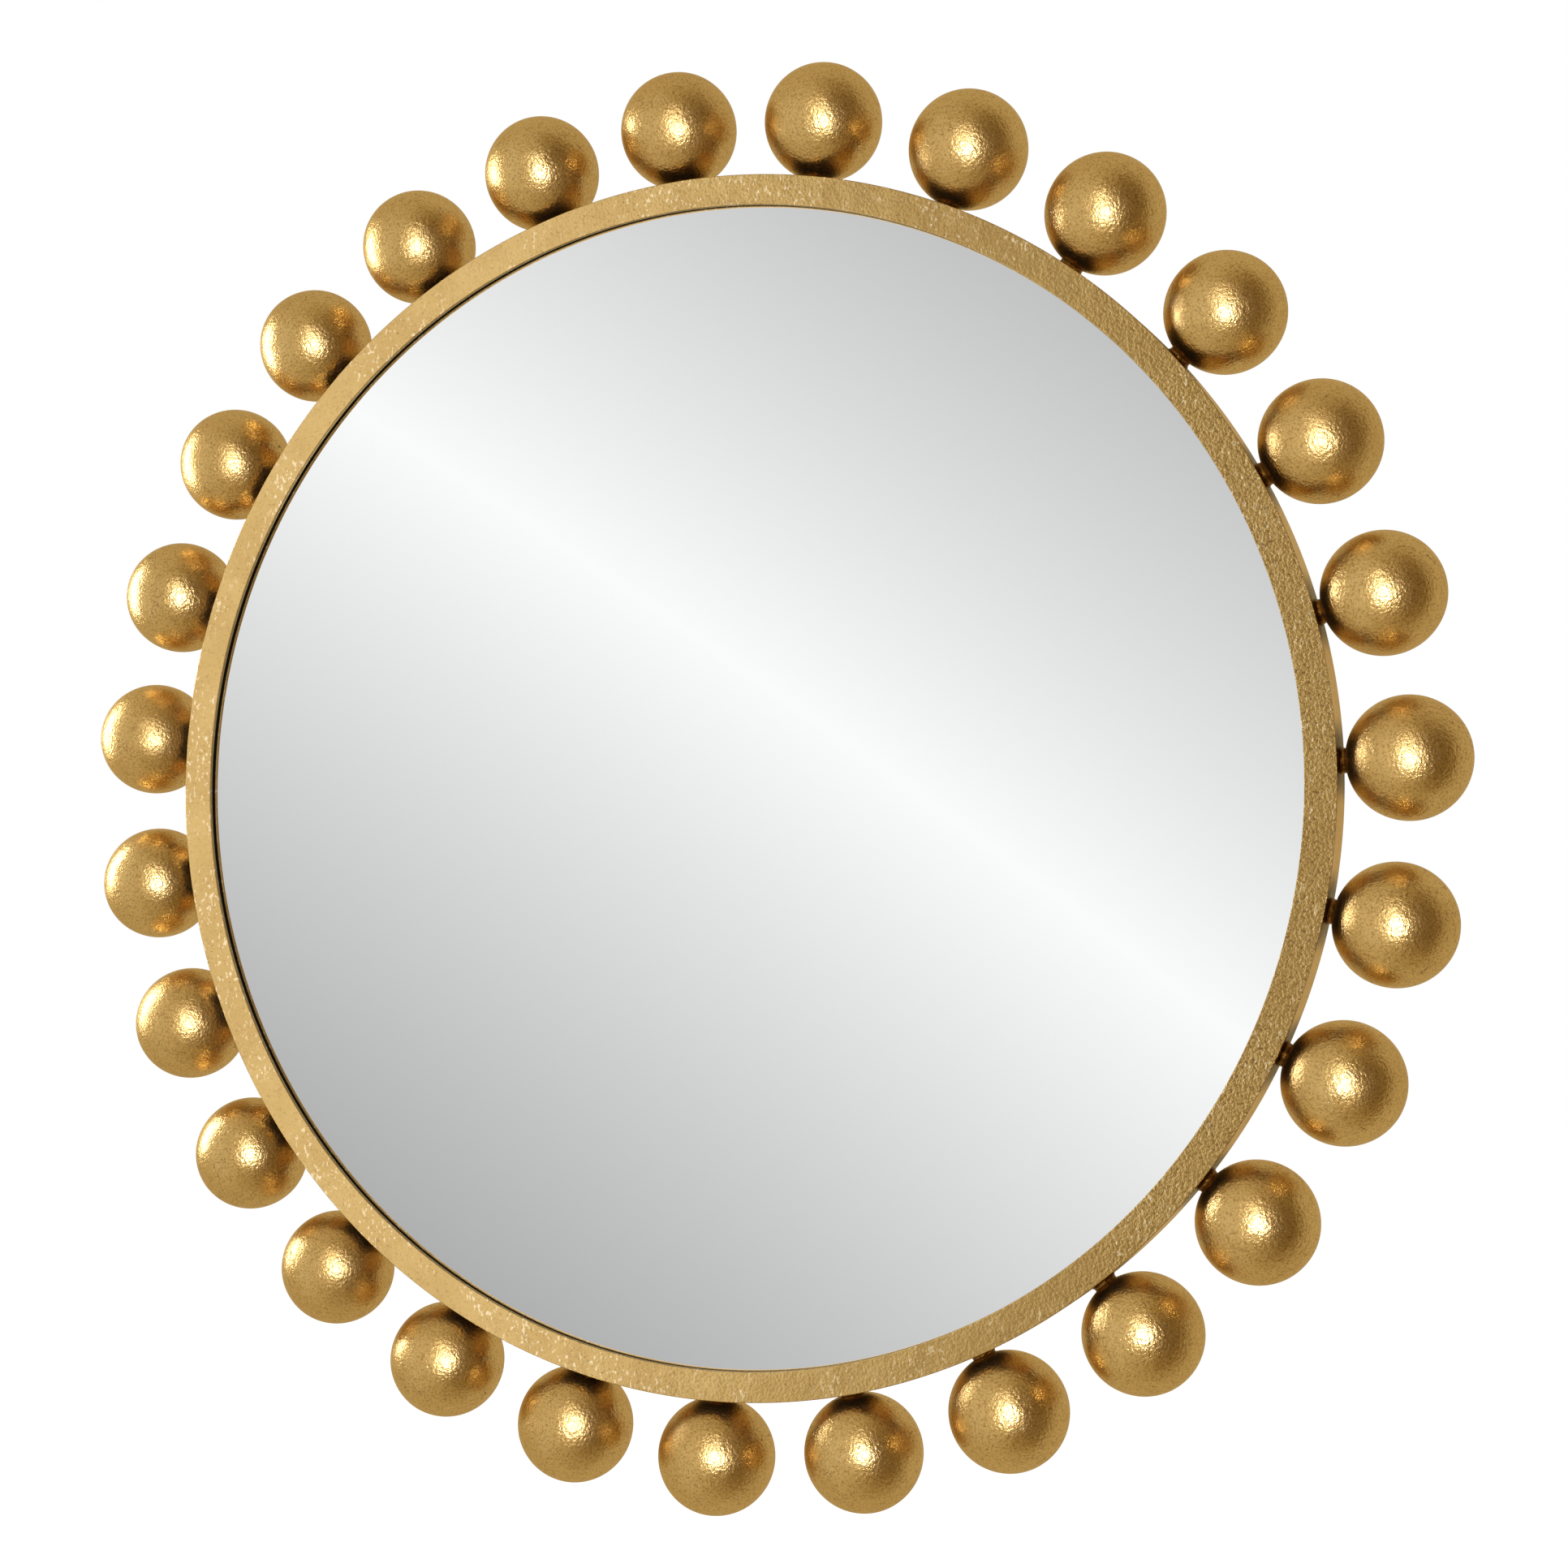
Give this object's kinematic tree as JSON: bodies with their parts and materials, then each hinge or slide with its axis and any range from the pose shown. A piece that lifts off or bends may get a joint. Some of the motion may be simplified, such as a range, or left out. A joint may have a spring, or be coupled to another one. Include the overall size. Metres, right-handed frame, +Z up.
{
  "type": "round wall mirror",
  "caption": "Round flat wall mirror in a narrow gold-leafed steel ring with hollow metal balls welded around its rim and two swinging ring hangers at the back.",
  "frame": {"origin": "where the ring's axis meets the wall plane, which the backs of the balls touch", "axes": "+Z up; +X to the right for someone who looks at the mirror; +Y into the wall, so the mirror faces -Y"},
  "size_m": [0.9136, 0.074, 0.9122],
  "materials": {
    "ring_leaf": "gold-coloured metal leaf on steel, satin, lightly pitted",
    "ball_leaf": "gold-coloured metal leaf on steel, glossy with fine crackle",
    "weld_leaf": "dark leafed weld metal",
    "gasket_foam": "matte black foam",
    "mirror_glass": "silvered flat glass",
    "board_fibre": "raw fibreboard",
    "tab_steel": "dark satin",
    "hanger_steel": "bright zinc-plated",
    "screw_steel": "bright zinc-plated"
  },
  "bodies": {
    "frame": {"front_ring_plate": "ring_leaf", "rim_band": "ring_leaf", "seam_welds": "ring_leaf", "ball_01": "ball_leaf", "ball_02": "ball_leaf", "ball_03": "ball_leaf", "ball_04": "ball_leaf", "ball_05": "ball_leaf", "ball_06": "ball_leaf", "ball_07": "ball_leaf", "ball_08": "ball_leaf", "ball_09": "ball_leaf", "ball_10": "ball_leaf", "ball_11": "ball_leaf", "ball_12": "ball_leaf", "ball_13": "ball_leaf", "ball_14": "ball_leaf", "ball_15": "ball_leaf", "ball_16": "ball_leaf", "ball_17": "ball_leaf", "ball_18": "ball_leaf", "ball_19": "ball_leaf", "ball_20": "ball_leaf", "ball_21": "ball_leaf", "ball_22": "ball_leaf", "ball_23": "ball_leaf", "ball_24": "ball_leaf", "ball_25": "ball_leaf", "ball_26": "ball_leaf", "ball_27": "ball_leaf", "ball_welds": "weld_leaf", "glass_gasket": "gasket_foam", "mirror_glass": "mirror_glass", "backing_board": "board_fibre", "retaining_tabs": "tab_steel", "tab_screws": "screw_steel", "hanger_strap_left": "hanger_steel", "hanger_strap_right": "hanger_steel", "hanger_screws_left": "screw_steel", "hanger_screws_right": "screw_steel"},
    "hanger_loop_left": {"hanger_loop_left": "hanger_steel"},
    "hanger_loop_right": {"hanger_loop_right": "hanger_steel"}
  },
  "joints": [
    {"name": "hanger_loop_left_swing", "type": "hinge", "parent": "frame", "child": "hanger_loop_left", "pos_m": [-0.23, -0.04305, 0.19], "axis": [1, 0, 0], "range_deg": [0, 180]},
    {"name": "hanger_loop_right_swing", "type": "hinge", "parent": "frame", "child": "hanger_loop_right", "pos_m": [0.23, -0.04305, 0.19], "axis": [1, 0, 0], "range_deg": [0, 180]}
  ]
}
